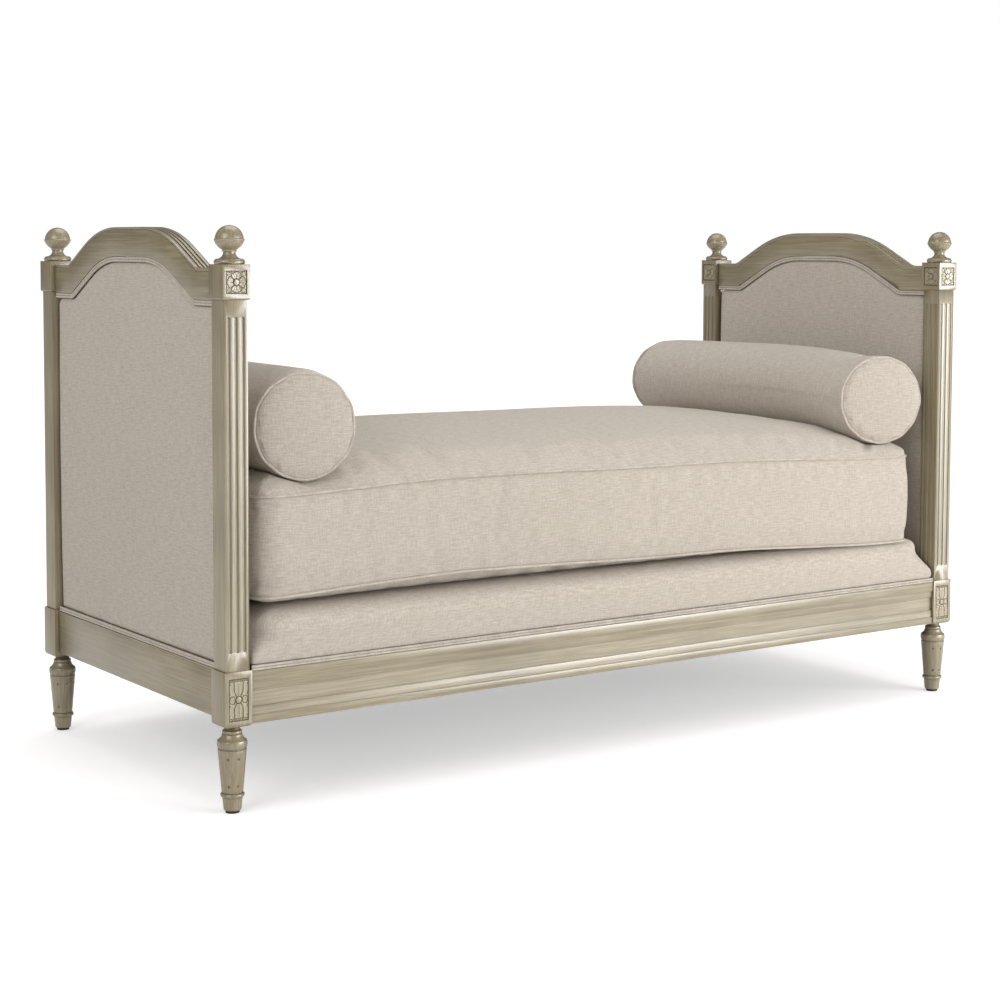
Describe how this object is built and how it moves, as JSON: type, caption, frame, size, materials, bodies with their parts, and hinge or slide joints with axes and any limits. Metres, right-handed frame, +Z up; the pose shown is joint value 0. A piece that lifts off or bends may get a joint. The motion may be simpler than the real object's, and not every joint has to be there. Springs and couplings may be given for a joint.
{
  "type": "recamier",
  "caption": "Backless recamier with equal arched, upholstered ends between carved and fluted posts, a loose mattress on a padded deck, and a loose bolster at each end.",
  "frame": {"origin": "on the floor under the middle of the four feet", "axes": "+X along the length to the right-hand end seen from the front, +Y from the front to the back, +Z up"},
  "size_m": [2.0616, 0.9126, 1.1695],
  "materials": {
    "painted_wood": "hand-brushed paint, glazed in the recesses",
    "bare_wood": "bare softwood",
    "board": "bare plywood",
    "linen": "plain woven linen",
    "piping_linen": "plain woven linen over cord",
    "foam": "foam and wadding",
    "dust_cloth": "thin black cloth",
    "zip": "woven tape with a closed coil",
    "screw": "zinc plated",
    "glide": "dark moulded"
  },
  "bodies": {
    "frame": {"back_cleat": "bare_wood", "back_deck_welt": "piping_linen", "back_left_finial": "painted_wood", "back_left_foot": "painted_wood", "back_left_post": "painted_wood", "back_rail": "painted_wood", "back_right_finial": "painted_wood", "back_right_foot": "painted_wood", "back_right_post": "painted_wood", "centre_beam": "bare_wood", "cleat_screws": "screw", "corner_blocks": "bare_wood", "corner_screws": "screw", "deck_cover": "linen", "deck_foam": "foam", "deck_slats": "bare_wood", "dust_cover": "dust_cloth", "foot_glides": "glide", "front_cleat": "bare_wood", "front_deck_welt": "piping_linen", "front_left_finial": "painted_wood", "front_left_foot": "painted_wood", "front_left_post": "painted_wood", "front_rail": "painted_wood", "front_right_finial": "painted_wood", "front_right_foot": "painted_wood", "front_right_post": "painted_wood", "left_crest_rail": "painted_wood", "left_end_rail": "painted_wood", "left_inner_cover": "linen", "left_inner_crest_welt": "piping_linen", "left_inner_pad": "foam", "left_outer_cover": "linen", "left_outer_crest_welt": "piping_linen", "left_outer_pad": "foam", "left_outer_rail_welt": "piping_linen", "left_panel_board": "board", "right_crest_rail": "painted_wood", "right_end_rail": "painted_wood", "right_inner_cover": "linen", "right_inner_crest_welt": "piping_linen", "right_inner_pad": "foam", "right_outer_cover": "linen", "right_outer_crest_welt": "piping_linen", "right_outer_pad": "foam", "right_outer_rail_welt": "piping_linen", "right_panel_board": "board"},
    "mattress": {"mattress_bottom_piping": "piping_linen", "mattress_core": "foam", "mattress_cover": "linen", "mattress_top_piping": "piping_linen", "mattress_zip": "zip"},
    "left_bolster": {"left_bolster_core": "foam", "left_bolster_cover": "linen", "left_bolster_piping": "piping_linen"},
    "right_bolster": {"right_bolster_core": "foam", "right_bolster_cover": "linen", "right_bolster_piping": "piping_linen"}
  },
  "joints": [
    {"name": "mattress_lift", "type": "slide", "parent": "frame", "child": "mattress", "axis": [0, 0, 1], "range_m": [0, 0.8]},
    {"name": "left_bolster_lift", "type": "slide", "parent": "mattress", "child": "left_bolster", "axis": [0, 0, 1], "range_m": [0, 0.55]},
    {"name": "right_bolster_lift", "type": "slide", "parent": "mattress", "child": "right_bolster", "axis": [0, 0, 1], "range_m": [0, 0.55]}
  ]
}
